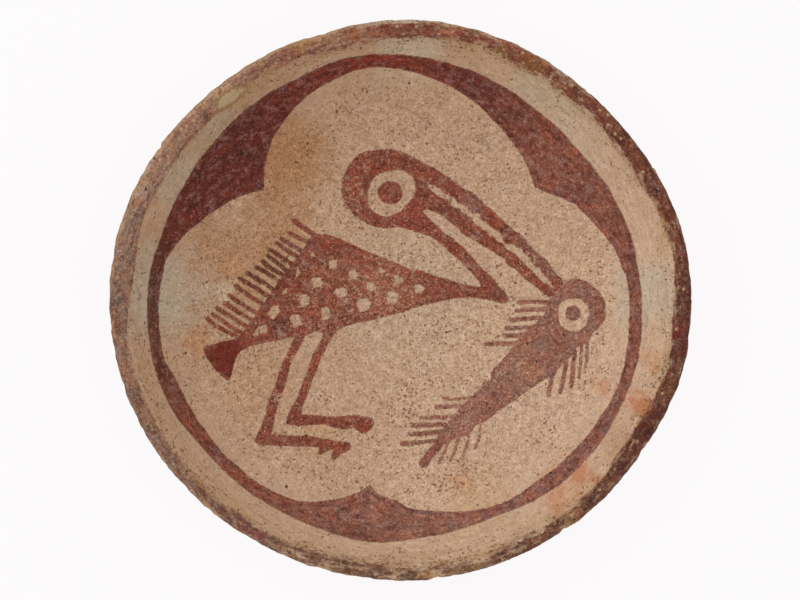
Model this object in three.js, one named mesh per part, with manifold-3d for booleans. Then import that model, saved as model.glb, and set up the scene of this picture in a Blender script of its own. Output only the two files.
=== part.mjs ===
// Red-on-buff plate: a hand-built earthenware plate with a flared rim, painted inside in red slip
// with a scalloped band, a long-beaked bird and a spiny fish that hangs from the bird's beak.
// Millimetres, +Z up. The origin is the middle of the flat patch that the plate rests on.

import * as THREE from "three";
import { mergeVertices } from "three/addons/utils/BufferGeometryUtils.js";
import Module from "manifold-3d";

// The pot
const RIM_RADIUS = 128; // mean radius of the widest line of the rim
const HEIGHT = 42; // from the resting patch to the crest of the lip
const RESTING_RADIUS = 48; // flat patch under the floor
const FLOOR_RADIUS = 88; // where the dished floor turns up into the wall
const FLOOR_DISH = 5.1; // rise of the floor from its middle to that line
const FLOOR_THICKNESS = 6.5; // in the middle
const WALL_THICKNESS = 5.8; // also the roll of the lip
const FLARE_INSET = 13.5; // from the widest line in to the crease where the wall flares
const FLARE_DROP = 10.5; // from the crest down to that crease
const WALL_ANGLE = 55; // degrees, how steep the wall is under the crease
const LIP_ANGLE = 39; // degrees, how steep the flare is at the lip
const OVALITY = 2.5; // extra radius along X, and missing radius along Y
const SQUARENESS = 0.75; // how far the oval bulges at its four quarters
const RIM_WAVE = 0.5; // rise and fall of the rim
// How far the rim strays outwards from that oval, every 15 degrees from +X round to +Y and on
const RIM_STRAYS = [
  0, 0.1, -0.8, -0.9, 0.3, 0.3, 0.2, -0.7, -0.4, 0, 0.3, 0.6,
  0, 0.6, 0.7, 1.1, 0.4, 0, 0.2, 0.7, 0.9, 0.8, -0.2, 0.7,
];

// The paint: thin films of slip, fired onto the clay
const SLIP_SEAT = 0.15; // clearance between the clay and a film
const SLIP_THICKNESS = 0.25;
const FIELD_MARGIN = 17; // from the widest line of the rim in to the edge of the painted field
const FIELD_SHIFT = -0.4; // along X: the painted field is not quite in the middle of the pot
const RIM_PAINT_WIDTH = 7; // from the widest line of the rim in to the paint's inner edge
const RIM_PAINT_DROP = 7; // from the crest down to the paint's edge on the outside
const FIGURE_GAP = 0.5; // between the tips of the beak and the fish
const COMB_WIDTH = 2.2; // brush strokes of the bird's wing feathers
const SPINE_WIDTH = 2.2; // brush strokes of the fish's long spines
const FINE_SPINE_WIDTH = 1.5; // brush strokes of its thin, worn spines
const TAIL_WIDTH = 4.2; // the broad stroke that ends the fish's tail

// Facets
const ROUND_STEPS = 60;
const FLOOR_RINGS = [0, 0.45, 0.68, 0.86, 1]; // as shares of the floor's radius
const WALL_STEPS = 4;
const FLARE_STEPS = 2;
const LIP_STEPS = 4;
const SPLINE_STEPS = 2; // for each point of an outline
const BRUSH_TIP_STEPS = 3;
const PUPIL_STEPS = 24;

const FIELD_RADIUS = RIM_RADIUS - FIELD_MARGIN;
const PRISM_HEIGHT = 2 * HEIGHT;

const BUFF_CLAY = { color: "#b8977c", roughness: 0.92, metalness: 0 };
const RED_SLIP = { color: "#7c4638", roughness: 0.84, metalness: 0 };
const WORN_SLIP = { color: "#73503f", roughness: 0.88, metalness: 0 };

const wasm = await Module();
wasm.setup();

// A closed three.js geometry as a solid that can be joined and cut

function solid(geometry) {
  const bare = new THREE.BufferGeometry();
  bare.setAttribute("position", geometry.getAttribute("position"));
  bare.setIndex(geometry.index);
  const merged = mergeVertices(bare);
  const corners = merged.index.array;
  const triangles = [];
  for (let i = 0; i < corners.length; i += 3) {
    const [a, b, c] = corners.slice(i, i + 3);
    if (a !== b && b !== c && c !== a) {
      triangles.push(a, b, c);
    }
  }
  const vertProperties = merged.getAttribute("position").array;
  const triVerts = new Uint32Array(triangles);
  return new wasm.Manifold(new wasm.Mesh({ numProp: 3, vertProperties, triVerts }));
}

function piece(name, body, finish) {
  const { vertProperties, triVerts } = body.getMesh();
  const geometry = new THREE.BufferGeometry();
  geometry.setAttribute("position", new THREE.BufferAttribute(vertProperties, 3));
  geometry.setIndex(new THREE.BufferAttribute(triVerts, 1));
  geometry.computeVertexNormals();
  const mesh = new THREE.Mesh(geometry, new THREE.MeshStandardMaterial(finish));
  mesh.name = name;
  return mesh;
}

// The pot is built up by eye: its rim is a little oval, strays from that and rises and falls by a hair

function rimStray(angle) {
  const turn = THREE.MathUtils.euclideanModulo(angle / (2 * Math.PI), 1) * RIM_STRAYS.length;
  const before = Math.floor(turn);
  const share = THREE.MathUtils.smoothstep(turn, before, before + 1);
  const stray = RIM_STRAYS[before % RIM_STRAYS.length];
  return THREE.MathUtils.lerp(stray, RIM_STRAYS[(before + 1) % RIM_STRAYS.length], share);
}

function rimBulge(angle) {
  return OVALITY * Math.cos(2 * angle) + SQUARENESS * Math.cos(4 * angle) + rimStray(angle);
}

function handBuilt(geometry) {
  const position = geometry.getAttribute("position");
  for (let i = 0; i < position.count; i += 1) {
    const angle = Math.atan2(position.getY(i), position.getX(i));
    const radius = Math.hypot(position.getX(i), position.getY(i));
    const share = THREE.MathUtils.smoothstep(radius, FLOOR_RADIUS, RIM_RADIUS);
    const bulged = radius + share * rimBulge(angle);
    const wave = share * RIM_WAVE * Math.cos(3 * angle);
    position.setXYZ(i, bulged * Math.cos(angle), bulged * Math.sin(angle), position.getZ(i) + wave);
  }
  return geometry;
}

function revolve(profile) {
  const geometry = new THREE.LatheGeometry(profile, ROUND_STEPS);
  geometry.rotateX(Math.PI / 2);
  return solid(handBuilt(geometry));
}

// Lines of the profile, as radius and height, from the middle outwards

function offset(line, distance) {
  const headings = line.slice(1).map((point, i) => point.clone().sub(line[i]).normalize());
  return line.map((point, i) => {
    const arriving = headings[Math.max(i - 1, 0)];
    const leaving = headings[Math.min(i, headings.length - 1)];
    const along = arriving.clone().add(leaving).normalize();
    const reach = distance / along.dot(leaving);
    return new THREE.Vector2(point.x + along.y * reach, point.y - along.x * reach);
  });
}

function raised(line, rise) {
  return line.map((point) => new THREE.Vector2(point.x, point.y + rise));
}

function above(line, height) {
  const next = line.findIndex((point) => point.y > height);
  const share = (height - line[next - 1].y) / (line[next].y - line[next - 1].y);
  return [line[next - 1].clone().lerp(line[next], share), ...line.slice(next)];
}

function bend(from, fromSlope, to, toSlope, steps) {
  const x = (to.y - from.y + fromSlope * from.x - toSlope * to.x) / (fromSlope - toSlope);
  const corner = new THREE.Vector2(x, from.y + fromSlope * (x - from.x));
  return new THREE.QuadraticBezierCurve(from, corner, to).getPoints(steps);
}

function slope(degrees) {
  return Math.tan(THREE.MathUtils.degToRad(degrees));
}

const floorLine = FLOOR_RINGS.map((share) => {
  return new THREE.Vector2(share * FLOOR_RADIUS, FLOOR_THICKNESS + FLOOR_DISH * share ** 3);
});
const lipRadius = WALL_THICKNESS / 2;
const lipLean = THREE.MathUtils.degToRad(LIP_ANGLE);
const lipCentre = new THREE.Vector2(RIM_RADIUS - lipRadius, HEIGHT - lipRadius);
const lipInside = new THREE.Vector2(-Math.sin(lipLean), Math.cos(lipLean));
lipInside.multiplyScalar(lipRadius).add(lipCentre);

const wallFoot = floorLine.at(-1);
const crease = new THREE.Vector2(RIM_RADIUS - FLARE_INSET, HEIGHT - FLARE_DROP);
const floorSlope = (3 * FLOOR_DISH) / FLOOR_RADIUS;
const wallLine = bend(wallFoot, floorSlope, crease, slope(WALL_ANGLE), WALL_STEPS);
const flareLine = bend(crease, slope(WALL_ANGLE), lipInside, slope(LIP_ANGLE), FLARE_STEPS);

const insideLine = [...floorLine, ...wallLine.slice(1), ...flareLine.slice(1)];
const outsideLine = offset(insideLine, WALL_THICKNESS);
const lipArc = new THREE.Path();
lipArc.absarc(lipCentre.x, lipCentre.y, lipRadius, lipLean - Math.PI / 2, lipLean + Math.PI / 2);
const lipLine = lipArc.getPoints(LIP_STEPS);

function plateBody() {
  const underside = outsideLine.slice(0, -1).filter((point) => point.y > 0 && point.x > RESTING_RADIUS);
  return revolve([
    new THREE.Vector2(0, 0),
    new THREE.Vector2(RESTING_RADIUS, 0),
    ...underside.slice(1),
    ...lipLine,
    ...insideLine.slice(0, -1).reverse(),
  ]);
}

// The slip lies on the inside of the pot, up to the middle of the flare

function slipSkin() {
  const painted = insideLine.slice(0, -1);
  const seat = raised(painted, SLIP_SEAT);
  const face = raised(painted, SLIP_SEAT + SLIP_THICKNESS);
  return revolve([...seat, ...face.reverse()]);
}

// Shapes in plan. Their coordinates are hundredths of the painted field's radius

function toScale([x, y]) {
  return new THREE.Vector2(x, y).multiplyScalar(FIELD_RADIUS / 100);
}

function place(point) {
  return toScale(point).add(new THREE.Vector2(FIELD_SHIFT, 0));
}

function placePolar([degrees, radius]) {
  const angle = THREE.MathUtils.degToRad(degrees);
  return place([radius * Math.cos(angle), radius * Math.sin(angle)]);
}

// A closed outline of smooth runs: each run starts where the last one ended, and they meet in corners
function outline(runs) {
  const path = new THREE.Path();
  const start = runs[0][0];
  path.moveTo(start.x, start.y);
  path.splineThru(runs[0].slice(1));
  for (const run of runs.slice(1)) {
    if (run.length === 1) {
      path.lineTo(run[0].x, run[0].y);
    } else {
      path.splineThru(run);
    }
  }
  const points = path.getPoints(SPLINE_STEPS);
  return THREE.ShapeUtils.isClockWise(points) ? points.reverse() : points;
}

function loop(points) {
  return outline([[...points, points[0]]]);
}

function prism(points, holes = []) {
  const shape = new THREE.Shape(points);
  shape.holes = holes.map((hole) => new THREE.Path(hole));
  return solid(new THREE.ExtrudeGeometry(shape, { depth: PRISM_HEIGHT, bevelEnabled: false }));
}

// A stroke of the brush with a round tip: it starts at the tip and ends inside the shape it grows from
function brushStroke(points, width) {
  const curve = new THREE.SplineCurve(points);
  const line = curve.getPoints(points.length - 1);
  const heading = line[1].clone().sub(line[0]).angle();
  const tip = [];
  for (let step = 1; step < BRUSH_TIP_STEPS; step += 1) {
    const angle = heading - Math.PI / 2 - (Math.PI * step) / BRUSH_TIP_STEPS;
    const point = new THREE.Vector2(Math.cos(angle), Math.sin(angle));
    tip.push(point.multiplyScalar(width / 2).add(line[0]));
  }
  const rightSide = offset(line, width / 2);
  const leftSide = offset(line, -width / 2);
  return prism([...rightSide.reverse(), ...tip, ...leftSide]);
}

function withStrokes(body, strokes, width) {
  return strokes.reduce((joined, points) => joined.add(brushStroke(points.map(place), width)), body);
}

// The band of paint on the rim: over the lip, with a wavering edge inside.
// Each point is an angle and a share of the band's width there

const RIM_PAINT_EDGE = [
  [0, 1], [8, 0.83], [16, 0.87], [25, 1.1], [36, 1.1], [45, 1.08], [55, 1.1], [65, 1.25],
  [75, 0.95], [85, 1.25], [94, 1.27], [101, 1.33], [110, 1.16], [120, 0.97], [128, 0.9],
  [136, 1.2], [145, 1.16], [156, 1.23], [163, 1.15], [171, 1.37], [178, 1.25], [186, 0.88],
  [196, 0.82], [208, 0.82], [218, 0.9], [227, 0.96], [240, 0.9], [253, 1.02], [261, 1.2],
  [271, 0.95], [279, 0.96], [286, 0.75], [293, 0.94], [305, 0.86], [315, 0.9], [322, 1.02],
  [333, 1.05], [340, 1], [346, 0.86], [352, 1.05],
];

function rimBand() {
  const overTheLip = [...outsideLine.slice(0, -1), ...lipLine, ...flareLine.slice(0, -1).reverse()];
  const clay = above(overTheLip, HEIGHT - RIM_PAINT_DROP);
  const face = offset(clay, SLIP_SEAT + SLIP_THICKNESS);
  const seat = offset(clay, SLIP_SEAT);
  const edge = RIM_PAINT_EDGE.map(([degrees, share]) => {
    const angle = THREE.MathUtils.degToRad(degrees);
    const radius = RIM_RADIUS + rimBulge(angle) - share * RIM_PAINT_WIDTH;
    return new THREE.Vector2(Math.cos(angle), Math.sin(angle)).multiplyScalar(radius);
  });
  return revolve([...face, ...seat.reverse(), face[0]]).subtract(prism(loop(edge)));
}

// The scalloped band: its three scallops meet in points that hang into the field

const BAND_OUTER_EDGE = [
  [0, 100.1], [8, 99.5], [16, 99.3], [30, 97.8], [43, 96.2], [50, 96.7], [58, 96.9], [66, 97.9],
  [76, 98.8], [87, 100.1], [100, 101.1], [112, 99.8], [127, 100.1], [140, 99.4], [150, 99.7],
  [160, 100.2], [168, 101.2], [176, 102.5], [186, 103.2], [197, 103.7], [206, 102.9],
  [214, 100.9], [228, 99.9], [240, 99.1], [250, 99], [260, 99.6], [268, 99], [280, 97.6],
  [290, 97.2], [298, 98], [306, 99.6], [315, 100.7], [327, 101.3], [340, 101.4], [350, 101.1],
];
const UPPER_SCALLOP = [
  [39.2, 74], [45, 77], [50, 79.5], [60, 83.6], [70, 88.1], [80, 91.9], [90, 94.8], [98, 95.9],
  [105, 94.5], [115, 91.4], [125, 85.9], [130, 81.8], [135, 77.3], [140.5, 71.5],
];
const LEFT_SCALLOP = [
  [145, 75.9], [150, 80.5], [160, 88.8], [166, 93.9], [172, 96.8], [182, 98.4], [193.5, 98.9],
  [198, 96.9], [210, 95.9], [222.8, 95.6],
];
const LEFT_SCALLOP_END = [
  [223.6, 94.9], [232, 94.6], [240, 92.9], [246, 90.7], [252, 86.3], [258, 81.5], [261.5, 77.2],
];
const RIGHT_SCALLOP = [
  [265, 80.9], [270, 83.2], [273, 85.9], [280, 88.3], [290, 92.3], [300, 94.1], [315, 94.8],
  [325, 95.9], [338, 97.2], [350, 96.3], [363, 95.3], [370, 93], [375, 91.3], [380, 88.1],
  [387, 84.3], [391, 81.1], [395, 76.8], [399.2, 74],
];

function scallopedBand() {
  const scallops = [UPPER_SCALLOP, LEFT_SCALLOP, LEFT_SCALLOP_END, RIGHT_SCALLOP];
  const field = outline(scallops.map((run) => run.map(placePolar)));
  return slipSkin().intersect(prism(loop(BAND_OUTER_EDGE.map(placePolar)), [field]));
}

// Where the open beak holds the fish by its head

const BEAK_CONTACT = [[71.4, 7.7], [68.4, 4.6], [66.4, 1.9], [64.1, 0.7]];

// The bird, clockwise from the top of its wing

const BIRD_OUTLINE = [
  // back, down to the notch where the neck starts
  [
    [-34.8, 27.4], [-27, 26.8], [-15.8, 21.9], [-7.1, 18.2],
    [-0.2, 15.4], [5, 13.2], [11.5, 11.9], [18, 9.5], [30.4, 6.2], [35, 5.8],
  ],
  // under the neck, round the head and along the upper mandible
  [
    [33.3, 8.7], [27.9, 14.6], [22.4, 19.5], [17, 24.4], [14.1, 26.2], [9, 27.8], [4.6, 29.4],
    [0.7, 30.2], [-4.1, 29.7], [-8.8, 30.2], [-12.7, 31.7], [-18.7, 36], [-21.2, 38.6],
    [-22.6, 42.3], [-23.2, 46.2], [-22.4, 50.5], [-20.5, 54.8], [-17.9, 58.5], [-14.4, 61],
    [-10.1, 62.1], [-4.9, 62.6], [-0.1, 61.9], [8.6, 58.5], [23.2, 50.3],
    [27, 46.7], [30.4, 45.6], [32.8, 43.6], [35, 41.2], [42.2, 35.2], [49.1, 28.8],
    [52.5, 26.4], [57.9, 20.5], [61.4, 17.7], [63.9, 14.6], [66.3, 11.2], [70.3, 7.7],
  ],
];
const BIRD_OUTLINE_AFTER_BEAK = [
  // the lower mandible, back to the throat
  [
    [62.9, 1.4], [60.4, 3.1], [58.5, 5], [53.5, 8.7], [48.6, 13.2], [45.6, 15.1], [45.1, 16.6],
    [42.7, 18.3], [36.8, 22], [27.9, 27.1], [25.4, 29.6], [21, 33.3], [18.5, 35.3],
    [15.5, 36.8], [12.6, 37.5], [10.5, 36.8],
  ],
  // over the neck to the breast, and back along the belly
  [
    [14.1, 33.5], [17, 30.8], [20, 28.1], [25.9, 23.7], [30.4, 19.5], [34.3, 14.4], [39.7, 9.5],
    [44.1, 4.3], [45.9, 2.1], [46.6, 0.4], [46.1, -1.1], [44.1, -1.6], [41.7, -1.2], [35.8, 0.4],
    [25.9, 0.8], [19.5, -0.4], [13.1, -1.9], [6.3, -3.5], [4.1, -4.8], [-2.3, -6.3],
    [-9.3, -8], [-17.1, -9.7], [-23.2, -11.9], [-26.3, -14.2],
  ],
  // right leg and foot
  [
    [-29.4, -20], [-32.2, -26.4], [-34.7, -32.4], [-36.2, -37.9], [-38.5, -42.9], [-39.6, -47.1],
  ],
  [
    [-32.4, -47.5], [-25.8, -48.2], [-18, -47.7], [-11.9, -48.4], [-9.7, -49.5], [-9.3, -51.2],
    [-10.8, -53.7], [-13.5, -55.2], [-15.2, -55.3], [-16.7, -54], [-18, -52.9], [-20.8, -53.7],
    [-26.6, -52.9], [-30.3, -51.5], [-36.8, -51.8], [-44.6, -51.8], [-45.9, -50.1], [-44.1, -44.9],
    [-41.5, -40.7], [-39.5, -35.2], [-37.1, -29.2], [-34.9, -23.1], [-31.8, -17], [-30.7, -13.4],
  ],
  [[-33.6, -13.2], [-38, -15]],
  // left leg and foot
  [
    [-40.2, -20], [-44.1, -26.9], [-45.4, -31.9], [-46.8, -37.9], [-49, -43.2], [-50.8, -49],
    [-51.8, -55.3],
  ],
  [
    [-45.1, -56], [-36.8, -56], [-30.3, -57.4], [-22.5, -58.5], [-20.3, -58.5], [-19.1, -59.5],
    [-19.3, -62], [-22.5, -63.3], [-24.3, -64.9], [-25.9, -65.9], [-27.3, -65.2], [-27, -61.9],
  ],
  [[-29.4, -62.7], [-31.7, -63.9], [-33, -63], [-32.2, -61.2]],
  [
    [-36.8, -60.6], [-45.1, -60.5], [-57.8, -59.2], [-58.7, -56.9], [-57.3, -54],
    [-54.6, -47.4], [-53.4, -41.5], [-50.5, -35.8], [-48.5, -28.6], [-45.7, -22], [-42.5, -15.9],
  ],
  // under the tail to its lower corner, and round its tip
  [
    [-49.2, -16.7], [-58.9, -18.7], [-63.1, -20.5], [-65.5, -22], [-67.5, -26.9],
    [-68.6, -31.4], [-69.4, -32.8], [-70.7, -33], [-74.1, -29.7], [-78.2, -24.4], [-80.1, -20.4],
    [-79.7, -19.2],
  ],
  [[-73.2, -17.3], [-67.7, -16.2]],
  // the wing's edge, where the feathers grow
  [
    [-62.7, -12.3], [-57.5, -4.5], [-52.3, 2.9], [-47.5, 10.3], [-42.6, 15.9], [-38.3, 22.1],
    [-34.8, 27.4],
  ],
];
const BEAK_OPENING = [
  [13.1, 48], [15.3, 47.6], [18, 45.9], [20, 43.9], [23, 42.9], [24.7, 41.4], [25.1, 40.2],
  [27.8, 39.2], [29.4, 37.2], [31.4, 35.9], [33.8, 35.9], [34.3, 33.8], [36.8, 32.3],
  [38.7, 30.4], [41.2, 28.8], [43.2, 27.7], [43.7, 25.4], [45.1, 23], [47.6, 23], [50.1, 22],
  [51.1, 20.5], [53.5, 19], [55.5, 16.6], [57.9, 13.6], [60.4, 11.2], [62.9, 8.7], [65.4, 5],
  [63.3, 6.3], [60.9, 7.7], [58.5, 9.7], [56.5, 12.2], [54, 14.6], [51.5, 17.1], [49.1, 19.5],
  [45.4, 21.5], [44.7, 23.4], [42, 24.4], [40.7, 26.4], [38, 27.4], [37.3, 29.1], [35.8, 30.6],
  [33.8, 30.8], [32.1, 32.1], [31.8, 34.5], [29.4, 35], [26.9, 36.8], [25.9, 38.2],
  [23.4, 38.6], [21.7, 40.2], [21, 42.2], [18.5, 42.9], [16, 44.3], [13.6, 46.1],
];
const BIRD_EYE = [
  [0.1, 54], [4.6, 52.4], [7.2, 49.6], [7.7, 45.8], [6.8, 42.8], [4.2, 39.8], [1.2, 36.8],
  [-2.3, 35], [-5.3, 34.8], [-8.8, 36.1], [-11, 38.5], [-12.1, 41.5], [-11.8, 45], [-11, 47.9],
  [-8.8, 51], [-4.5, 53.1],
];
const BIRD_PUPIL = { centre: [-2.7, 44.5], size: [5.3, 5] };

// Bare squares left in the bird's wing and body
const BARE_SQUARES = [
  [[-35, 19.8], [-33.9, 18.1], [-36.1, 17.9]],
  [[-41.2, 13.1], [-40.1, 11.2], [-41.8, 9.4]],
  [[-35.3, 9], [-31.5, 9.2], [-30.7, 7.2], [-31.2, 5.5], [-34.4, 5.2]],
  [[-46.2, 5], [-45.3, 2.9], [-47.5, 2.6]],
  [[-40.3, 1.8], [-37.7, 2.3], [-36, 0.9], [-36.4, -1.4], [-37.7, -2.8], [-39.6, -3]],
  [[-52.1, -3.2], [-50.7, -2.3], [-49.2, -3], [-48.5, -4.8], [-51, -8], [-52.5, -7.6], [-53.2, -5.6]],
  [[-42.7, -6.3], [-40.9, -6], [-39.2, -10.2], [-42.7, -11.5], [-44.2, -7.6]],
  [[-57.1, -10.8], [-54.2, -10.2], [-53.6, -12.3], [-54.5, -13.4], [-59.7, -14.8], [-58.8, -12.8]],
  [[-28.1, 16.2], [-25.3, 16.3], [-24.9, 14.5], [-25.1, 13.2], [-27.9, 13.2]],
  [[-19.5, 12], [-17.1, 12.3], [-15.9, 10.6], [-16.4, 8.8], [-19.3, 8.6], [-20, 10.6]],
  [[-25.1, 4.5], [-21.9, 5], [-20.5, 3.4], [-21, 1.7], [-24.1, 1.1], [-25.9, 2.8]],
  [[-12.3, 7.1], [-9.7, 7.6], [-8.7, 5.4], [-10.2, 3.4], [-12.5, 4.1]],
  [[-7.3, 13.2], [-4.5, 12.3], [-6, 11.1], [-7.7, 11.7]],
  [[-0.8, 10.4], [2, 9.5], [2.6, 7.6], [0.3, 6.5], [-1.1, 8]],
  [[-15.8, 0.2], [-11.9, 0.5], [-10.8, -1.3], [-11.6, -3.9], [-15, -5], [-16.2, -2.8]],
  [[-3.4, 3.7], [0.3, 3.7], [0.9, 1.5], [-0.4, -0.6], [-3.2, -1.5], [-4.1, 1.1]],
  [[7.2, 6], [9.8, 6.7], [11.9, 4.8], [10.6, 3.4], [8.1, 2.8]],
  [[-31.4, -3.1], [-28.4, -2.7], [-27.5, -5], [-27.5, -7.1], [-29, -8.2], [-31, -8.2]],
];

// Feathers of the wing, each from its tip to its root
const WING_FEATHERS = [
  [[-42.7, 32.9], [-40.5, 31.1], [-36.6, 28.3], [-34, 26.6]],
  [[-44.8, 28.3], [-41.8, 26.1], [-36.5, 23.9]],
  [[-48.1, 25.6], [-44, 23.1], [-38, 19.4]],
  [[-49.6, 23.4], [-45.7, 20.7], [-40.5, 17.6]],
  [[-52.9, 20.9], [-48.3, 18.1], [-42.2, 13.8]],
  [[-53.8, 18.5], [-49.2, 15], [-44.9, 11.5]],
  [[-55.7, 15.9], [-53.1, 13.7], [-46.9, 10.2]],
  [[-58.2, 13.5], [-53.5, 11.1], [-48.2, 7.4]],
  [[-61.8, 11.2], [-55.3, 7.2], [-50.9, 4]],
  [[-65, 8.7], [-59.6, 5.7], [-52.3, 1]],
  [[-66.8, 5.6], [-61.4, 1.8], [-54.6, -2.2]],
  [[-69.5, 1.9], [-63.2, -2.3], [-57, -5.9]],
  [[-71.4, -1.3], [-64.9, -5.4], [-59.6, -8.6]],
  [[-74.4, -3.2], [-67.5, -7.6], [-61, -11.7]],
  [[-76.2, -5.9], [-68.4, -11.1], [-62.3, -14.5]],
  [[-78.2, -7.7], [-75.3, -10.6], [-66.6, -14.8], [-62.3, -16.5]],
];

function bird() {
  const beakTips = BEAK_CONTACT.map(place).map((point) => point.setX(point.x - FIGURE_GAP));
  const edge = outline([
    ...BIRD_OUTLINE.map((run) => run.map(place)),
    ...beakTips.map((point) => [point]),
    ...BIRD_OUTLINE_AFTER_BEAK.map((run) => run.map(place)),
  ]);
  const bareGaps = [BEAK_OPENING, ...BARE_SQUARES].map((corners) => corners.map(place));
  const paint = prism(edge, [loop(BIRD_EYE.map(place)), ...bareGaps]);
  return slipSkin().intersect(withStrokes(paint, WING_FEATHERS, COMB_WIDTH));
}

function pupil({ centre, size }) {
  const middle = place(centre);
  const reach = toScale(size);
  const curve = new THREE.EllipseCurve(middle.x, middle.y, reach.x, reach.y);
  return slipSkin().intersect(prism(curve.getPoints(PUPIL_STEPS).slice(1)));
}

// The fish, clockwise from the beak's lower tip

const FISH_OUTLINE = [
  // round the head to the first spine
  [
    [72.2, 8.6], [74.1, 8.9], [76.3, 8.7], [78.9, 7.8], [80.9, 6.1], [83.3, 4], [85.2, 1.7],
    [86.2, -0.9], [86.7, -4.3], [86.4, -7.4], [85, -10], [82.9, -12.3], [81.4, -13.5],
    [80.7, -15.3], [79.2, -17.6],
  ],
  // belly, down to the tail
  [
    [77.7, -18.2], [74.8, -20], [71.4, -24.4], [68.7, -27.3], [66.1, -29.7], [63.1, -32.7],
    [60.6, -33.8], [54.1, -38], [50.5, -40.8], [45.2, -44.4],
    [41.4, -46.8], [38.6, -49], [36.2, -50.7], [33, -52.3], [31.6, -53.8], [30.3, -55.8],
    [27.2, -56.7], [22.4, -58.6], [20, -60.1], [18, -60.8],
  ],
  // back, up from the tail to the shoulder
  [
    [16, -59.7], [16.6, -57.2], [18.2, -54.5], [19.4, -52.7], [21.6, -50.1], [23.7, -47.7],
    [25.4, -46.1], [25.9, -44.7], [27.7, -43.2], [29.9, -41.5], [32.5, -38.9], [35, -36.3],
    [36, -34.1],
  ],
  [[39.2, -33.5]],
  [[39.4, -29.7]],
  [
    [40.9, -27.7], [43.1, -25.8], [45, -23.9], [46.6, -21.6], [48.1, -19.3], [50.6, -16.1],
    [54.1, -12.7], [57.2, -9.8], [61.5, -5.9], [62.4, -1.5], [64.1, 0.7],
  ],
];
const FISH_EYE = [
  [69.8, -0.2], [68, -1.7], [67.2, -5.2], [67.4, -8.3], [68.7, -10.9], [70.7, -12.3],
  [74.1, -13], [76.6, -11.8], [78.3, -10.5], [79.5, -7.4], [79.7, -4.3], [78.5, -1.7],
  [76.8, 0], [74.6, 0.6], [72, 0.5],
];
const FISH_PUPIL = { centre: [73.3, -5.5], size: [3.2, 3.3] };

// Spines, each from its tip to its root
const LONG_SPINES = [
  [[50.8, -1.2], [55.9, -0.6], [63.8, -1.1]],
  [[49.8, -4.4], [55, -4.1], [63.1, -3.6]],
  [[47.8, -8.3], [54.1, -7.7], [61.7, -7.2]],
  [[45.7, -11.6], [52.3, -11.5], [58.1, -11.3]],
  [[45.1, -14.8], [50.5, -14.7], [55, -14.4]],
  [[37, -18.1], [43.2, -18.2], [50.9, -18]],
  [[16.5, -44.5], [21.2, -44.3], [27, -44.1]],
  [[10.4, -48.9], [16.2, -48.9], [23.9, -48.6]],
  [[6.4, -52.1], [12.6, -52.1], [20.7, -51.5]],
  [[5.3, -55.6], [10.8, -55.4], [18.5, -54.7]],
  [[2, -59.5], [8.1, -59.2], [17.6, -58.2]],
  [[72.1, -35.9], [73, -30.1], [73.9, -20.7]],
  [[67.9, -38.4], [69.3, -32.3], [70.5, -23.9]],
  [[63.2, -39.5], [63.9, -34.7], [65.8, -28.4]],
];
const FINE_SPINES = [
  [[19.5, -40.7], [22.9, -41.4], [25.5, -41.1], [31.5, -40.5]],
  [[78, -30.1], [78.9, -24.9], [78.8, -16.7]],
  [[75.5, -32.3], [76.3, -27.1], [76.7, -17.6]],
  [[32.3, -61.4], [33.9, -58.2], [34.9, -50.9]],
  [[27.7, -64.5], [29.3, -59], [30, -54.5]],
  [[22.3, -66.4], [24.1, -62.6], [25.9, -56.8]],
  [[17.3, -67.6], [20.2, -62.1], [21.6, -58.1]],
];
const TAIL = [[10.8, -67.9], [14.1, -63.8], [18.3, -58.6]];

function fish() {
  const edge = outline([
    [...BEAK_CONTACT].reverse().map(place),
    ...FISH_OUTLINE.map((run) => run.map(place)),
  ]);
  let paint = prism(edge, [loop(FISH_EYE.map(place))]);
  paint = withStrokes(paint, LONG_SPINES, SPINE_WIDTH);
  paint = withStrokes(paint, FINE_SPINES, FINE_SPINE_WIDTH);
  paint = withStrokes(paint, [TAIL], TAIL_WIDTH);
  return slipSkin().intersect(paint);
}

const plate = new THREE.Group();
plate.name = "red_on_buff_plate";
plate.add(piece("plate_body", plateBody(), BUFF_CLAY));
plate.add(piece("rim_band", rimBand(), WORN_SLIP));
plate.add(piece("scalloped_band", scallopedBand(), RED_SLIP));
plate.add(piece("bird", bird(), RED_SLIP));
plate.add(piece("bird_pupil", pupil(BIRD_PUPIL), RED_SLIP));
plate.add(piece("fish", fish(), RED_SLIP));
plate.add(piece("fish_pupil", pupil(FISH_PUPIL), RED_SLIP));

export default plate;
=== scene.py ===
# Red-on-buff plate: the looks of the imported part. Metres, +Z up out of the plate's mouth.

import math

import bmesh
import bpy
from mathutils import Matrix, Vector
from mathutils.kdtree import KDTree


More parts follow.
